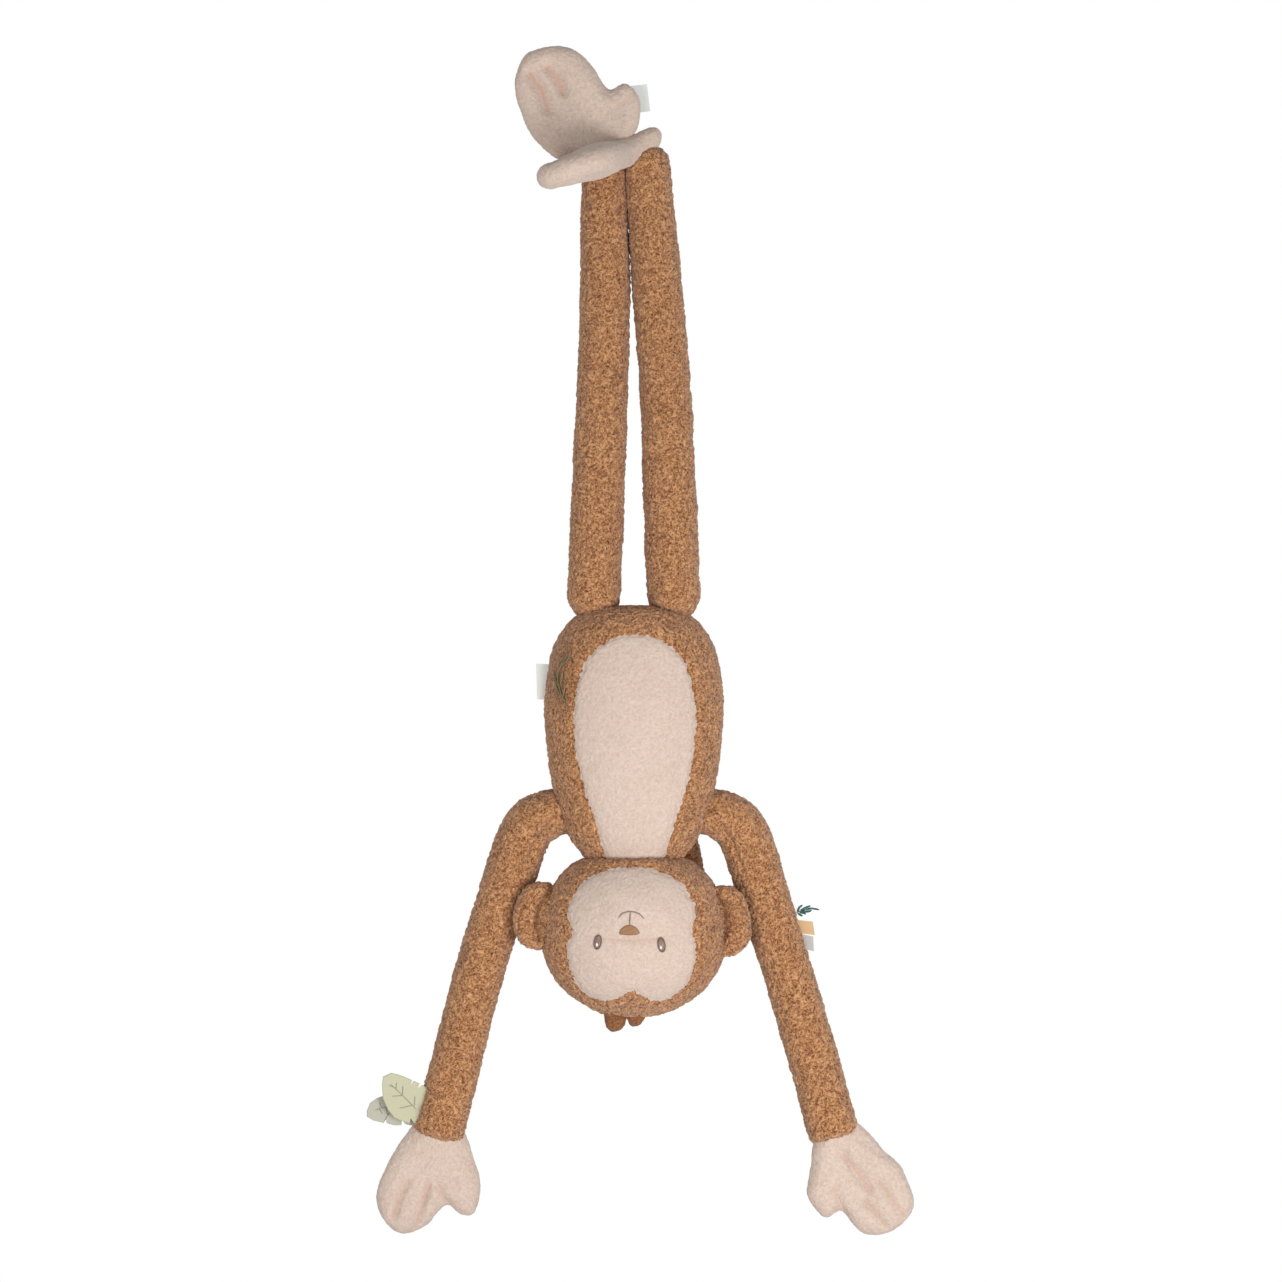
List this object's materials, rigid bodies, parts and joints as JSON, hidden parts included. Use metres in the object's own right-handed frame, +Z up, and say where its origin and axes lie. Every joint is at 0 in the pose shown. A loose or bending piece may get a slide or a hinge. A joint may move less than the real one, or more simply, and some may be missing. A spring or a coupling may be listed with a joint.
{
  "type": "stuffed monkey",
  "caption": "Long-limbed plush monkey that hangs head down from its clasped feet, with stuffed limbs that swing at every seam, a curled tail, felt leaves and ribbon loops.",
  "frame": {"origin": "middle of the feet's grip, where the crossed feet close round what the monkey hangs from", "axes": "+Z up, from the hanging head towards the feet; the belly and face look along -Y; +X is to the right of someone who faces the belly"},
  "size_m": [0.4658, 0.1813, 0.9978],
  "materials": {
    "brown_teddy": "short curly teddy plush, matt, with light tips and dark valleys",
    "cream_plush": "fine short plush, soft sheen",
    "fibre_filling": "loose polyester fibre",
    "olive_thread": "satin stitch",
    "white_label": "folded woven tape, blank",
    "eye_thread": "satin stitch",
    "white_thread": "satin stitch",
    "nose_thread": "satin stitch",
    "mouth_thread": "thin run of backstitch",
    "tuft_plush": "smooth rolled plush",
    "green_felt": "printed cotton leaf, stitched veins",
    "grey_felt": "printed cotton leaf, stitched veins",
    "fern_ribbon": "satin ribbon with a printed fern",
    "tan_ribbon": "woven ribbon",
    "grey_ribbon": "woven ribbon",
    "fastener_tape": "hook-and-loop tape"
  },
  "bodies": {
    "torso": {"torso_back": "brown_teddy", "torso_front": "brown_teddy", "belly_panel": "cream_plush", "torso_stuffing": "fibre_filling", "feather_stitching": "olive_thread"},
    "label": {"hip_label": "white_label"},
    "head": {"head_back": "brown_teddy", "head_front": "brown_teddy", "muzzle_panel": "cream_plush", "brow_panel": "cream_plush", "head_stuffing": "fibre_filling", "eye_left": "eye_thread", "eye_right": "eye_thread", "eye_glints": "white_thread", "nose": "nose_thread", "mouth_stitching": "mouth_thread", "forelock_left": "tuft_plush", "forelock_right": "tuft_plush"},
    "left_ear": {"ear_left": "brown_teddy"},
    "right_ear": {"ear_right": "brown_teddy"},
    "left_shoulder": {"shoulder_left": "brown_teddy"},
    "right_shoulder": {"shoulder_right": "brown_teddy"},
    "left_upper_arm": {"upper_arm_left": "brown_teddy", "upper_arm_stuffing_left": "fibre_filling"},
    "right_upper_arm": {"upper_arm_right": "brown_teddy", "upper_arm_stuffing_right": "fibre_filling"},
    "left_forearm": {"forearm_left": "brown_teddy", "forearm_stuffing_left": "fibre_filling"},
    "right_forearm": {"forearm_right": "brown_teddy", "forearm_stuffing_right": "fibre_filling"},
    "left_hand": {"hand_left": "cream_plush", "hand_stuffing_left": "fibre_filling"},
    "right_hand": {"hand_right": "cream_plush", "hand_stuffing_right": "fibre_filling"},
    "green_leaf": {"leaf_green": "green_felt"},
    "grey_leaf": {"leaf_grey": "grey_felt"},
    "fern_ribbon": {"ribbon_fern": "fern_ribbon"},
    "tan_ribbon": {"ribbon_tan": "tan_ribbon"},
    "grey_ribbon": {"ribbon_grey": "grey_ribbon"},
    "left_thigh": {"thigh_left": "brown_teddy", "thigh_stuffing_left": "fibre_filling"},
    "right_thigh": {"thigh_right": "brown_teddy", "thigh_stuffing_right": "fibre_filling"},
    "left_shin": {"shin_left": "brown_teddy", "shin_stuffing_left": "fibre_filling"},
    "right_shin": {"shin_right": "brown_teddy", "shin_stuffing_right": "fibre_filling"},
    "left_foot": {"foot_left": "cream_plush", "foot_stuffing_left": "fibre_filling", "hook_patch": "fastener_tape"},
    "right_foot": {"foot_right": "cream_plush", "foot_stuffing_right": "fibre_filling", "loop_patch": "fastener_tape"},
    "tail_base": {"tail_upper": "brown_teddy", "tail_stuffing_upper": "fibre_filling"},
    "tail_end": {"tail_lower": "brown_teddy", "tail_stuffing_lower": "fibre_filling"}
  },
  "joints": [
    {"name": "neck_nod", "type": "hinge", "parent": "torso", "child": "head", "pos_m": [0, -0.0325, -0.5943], "axis": [-1, 0, 0], "range_deg": [0, 25]},
    {"name": "left_ear_flap", "type": "hinge", "parent": "head", "child": "left_ear", "pos_m": [-0.078, -0.021, -0.643], "axis": [0, 0, 1], "range_deg": [0, 30]},
    {"name": "left_shoulder_swing", "type": "hinge", "parent": "torso", "child": "left_shoulder", "pos_m": [-0.064, 0.006, -0.556], "axis": [1, 0, 0], "range_deg": [0, 40]},
    {"name": "left_shoulder_spread", "type": "hinge", "parent": "left_shoulder", "child": "left_upper_arm", "pos_m": [-0.09, 0.012, -0.573], "axis": [0, 1, 0], "range_deg": [0, 60]},
    {"name": "left_elbow_bend", "type": "hinge", "parent": "left_upper_arm", "child": "left_forearm", "pos_m": [-0.133, 0.018, -0.701], "axis": [-1, 0, 0], "range_deg": [0, 70]},
    {"name": "left_wrist_flop", "type": "hinge", "parent": "left_forearm", "child": "left_hand", "pos_m": [-0.162, 0.012, -0.816], "axis": [1, 0, 0], "range_deg": [-35, 35]},
    {"name": "left_hip_spread", "type": "hinge", "parent": "torso", "child": "left_thigh", "pos_m": [-0.0335, 0, -0.373], "axis": [0, -1, 0], "range_deg": [0, 45]},
    {"name": "left_knee_bend", "type": "hinge", "parent": "left_thigh", "child": "left_shin", "pos_m": [-0.0265, 0.004, -0.202], "axis": [-1, 0, 0], "range_deg": [0, 60]},
    {"name": "right_ear_flap", "type": "hinge", "parent": "head", "child": "right_ear", "pos_m": [0.078, -0.021, -0.649], "axis": [0, 0, -1], "range_deg": [0, 30]},
    {"name": "right_shoulder_swing", "type": "hinge", "parent": "torso", "child": "right_shoulder", "pos_m": [0.064, 0.006, -0.556], "axis": [1, 0, 0], "range_deg": [0, 40]},
    {"name": "right_shoulder_spread", "type": "hinge", "parent": "right_shoulder", "child": "right_upper_arm", "pos_m": [0.09, 0.012, -0.573], "axis": [0, -1, 0], "range_deg": [0, 60]},
    {"name": "right_elbow_bend", "type": "hinge", "parent": "right_upper_arm", "child": "right_forearm", "pos_m": [0.133, 0.018, -0.701], "axis": [-1, 0, 0], "range_deg": [0, 70]},
    {"name": "right_wrist_flop", "type": "hinge", "parent": "right_forearm", "child": "right_hand", "pos_m": [0.166, 0.012, -0.816], "axis": [1, 0, 0], "range_deg": [-35, 35]},
    {"name": "right_hip_spread", "type": "hinge", "parent": "torso", "child": "right_thigh", "pos_m": [0.0335, 0, -0.373], "axis": [0, 1, 0], "range_deg": [0, 45]},
    {"name": "right_knee_bend", "type": "hinge", "parent": "right_thigh", "child": "right_shin", "pos_m": [0.0265, 0.004, -0.202], "axis": [1, 0, 0], "range_deg": [0, 60]},
    {"name": "left_ankle_tilt", "type": "hinge", "parent": "left_shin", "child": "left_foot", "pos_m": [-0.027, 0.01, -0.026], "axis": [-1, 0, 0], "range_deg": [0, 40]},
    {"name": "right_ankle_tilt", "type": "hinge", "parent": "right_shin", "child": "right_foot", "pos_m": [0.013, 0.006, -0.019], "axis": [1, 0, 0], "range_deg": [0, 35]},
    {"name": "tail_lift", "type": "hinge", "parent": "torso", "child": "tail_base", "pos_m": [0.006, 0.0622, -0.412], "axis": [1, 0, 0], "range_deg": [0, 45]},
    {"name": "tail_curl", "type": "hinge", "parent": "tail_base", "child": "tail_end", "pos_m": [0.026, 0.092, -0.508], "axis": [1, 0, 0], "range_deg": [0, 45]},
    {"name": "green_leaf_flap", "type": "hinge", "parent": "left_forearm", "child": "green_leaf", "pos_m": [-0.18323, 0.0052, -0.80105], "axis": [0.2442, 0.0505, 0.9684], "range_deg": [0, 40]},
    {"name": "grey_leaf_flap", "type": "hinge", "parent": "left_forearm", "child": "grey_leaf", "pos_m": [-0.18468, 0.0132, -0.8068], "axis": [-0.2442, -0.0505, -0.9684], "range_deg": [0, 40]},
    {"name": "fern_ribbon_flap", "type": "hinge", "parent": "right_upper_arm", "child": "fern_ribbon", "pos_m": [0.13717, 0.0128, -0.639], "axis": [0.3181, 0.0444, -0.947], "range_deg": [-20, 20]},
    {"name": "tan_ribbon_flap", "type": "hinge", "parent": "right_upper_arm", "child": "tan_ribbon", "pos_m": [0.14238, 0.0128, -0.6545], "axis": [0.3181, 0.0444, -0.947], "range_deg": [-20, 20]},
    {"name": "grey_ribbon_flap", "type": "hinge", "parent": "right_upper_arm", "child": "grey_ribbon", "pos_m": [0.14658, 0.0128, -0.667], "axis": [0.3181, 0.0444, -0.947], "range_deg": [-20, 20]},
    {"name": "label_flap", "type": "hinge", "parent": "torso", "child": "label", "pos_m": [-0.0766, -0.0008, -0.446], "axis": [0, 0, 1], "range_deg": [-25, 25]}
  ]
}
